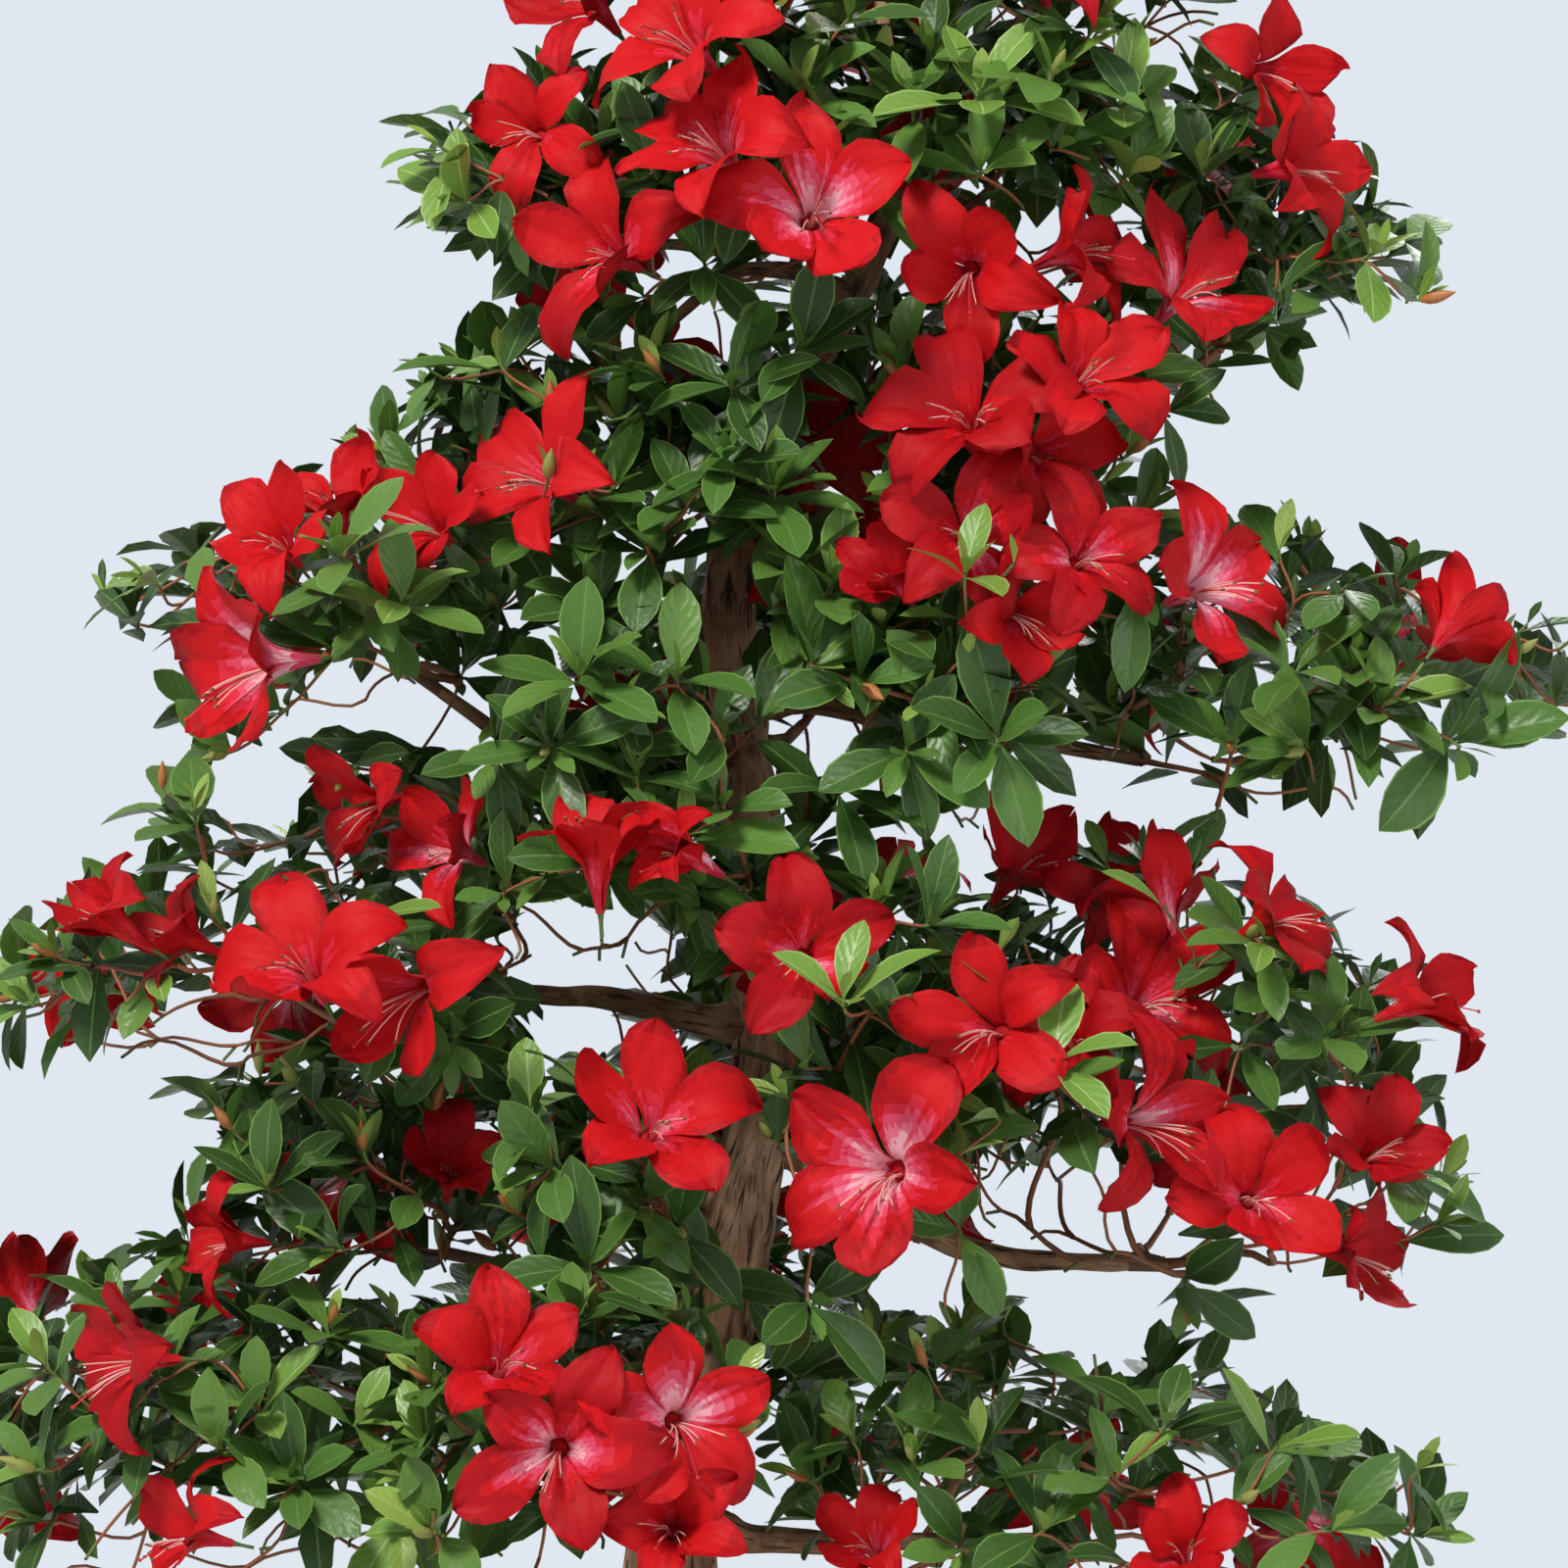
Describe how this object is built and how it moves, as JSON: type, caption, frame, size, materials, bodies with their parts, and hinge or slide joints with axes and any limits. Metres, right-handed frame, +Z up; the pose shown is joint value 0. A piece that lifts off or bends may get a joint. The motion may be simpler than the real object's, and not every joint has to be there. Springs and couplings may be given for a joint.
{
  "type": "satsuki azalea bonsai in a pot",
  "caption": "Small upright azalea tree in full flower, with tiers of leafy branches on a bending trunk, growing in a shallow footed clay pot.",
  "frame": {"origin": "centre of the whole plant's footprint, on the ground under the pot's feet", "axes": "+Z up along the trunk, +X to the right of the tree seen from its front, -Y the front"},
  "size_m": [0.5321, 0.3465, 0.837],
  "materials": {
    "foliage": "glossy green leaves and red blossom",
    "bough_bark": "thin grey-brown bark",
    "trunk_bark": "flaking grey-brown bark",
    "clay": "unglazed dark brown stoneware",
    "soil": "damp granular fired clay"
  },
  "bodies": {
    "root": {"bough_centre_right": "bough_bark", "bough_crown_left": "bough_bark", "bough_crown_right": "bough_bark", "bough_inner_left": "bough_bark", "bough_low_back": "bough_bark", "bough_low_front": "bough_bark", "bough_low_left": "bough_bark", "bough_low_right": "bough_bark", "bough_mid_back": "bough_bark", "bough_mid_right": "bough_bark", "bough_midlow_left": "bough_bark", "bough_second_back": "bough_bark", "bough_second_left": "bough_bark", "bough_second_right": "bough_bark", "bough_third_left": "bough_bark", "bough_upper_back": "bough_bark", "bough_upper_left": "bough_bark", "bough_upper_right": "bough_bark", "foot_back_left": "clay", "foot_back_right": "clay", "foot_front_left": "clay", "foot_front_right": "clay", "mass_centre": "foliage", "mass_centre_left": "foliage", "mass_centre_right": "foliage", "mass_crown_left": "foliage", "mass_crown_right": "foliage", "mass_crown_tip": "foliage", "mass_inner_left": "foliage", "mass_inner_right": "foliage", "mass_low_back": "foliage", "mass_low_front": "foliage", "mass_low_left": "foliage", "mass_low_right": "foliage", "mass_mid_back": "foliage", "mass_mid_inner": "foliage", "mass_mid_right": "foliage", "mass_midlow_centre": "foliage", "mass_midlow_left": "foliage", "mass_second_back": "foliage", "mass_second_left": "foliage", "mass_second_right": "foliage", "mass_third_left": "foliage", "mass_upper_back": "foliage", "mass_upper_front": "foliage", "mass_upper_inner": "foliage", "mass_upper_left": "foliage", "mass_upper_rear": "foliage", "mass_upper_right": "foliage", "pot": "clay", "soil": "soil", "trunk": "trunk_bark"}
  },
  "joints": []
}
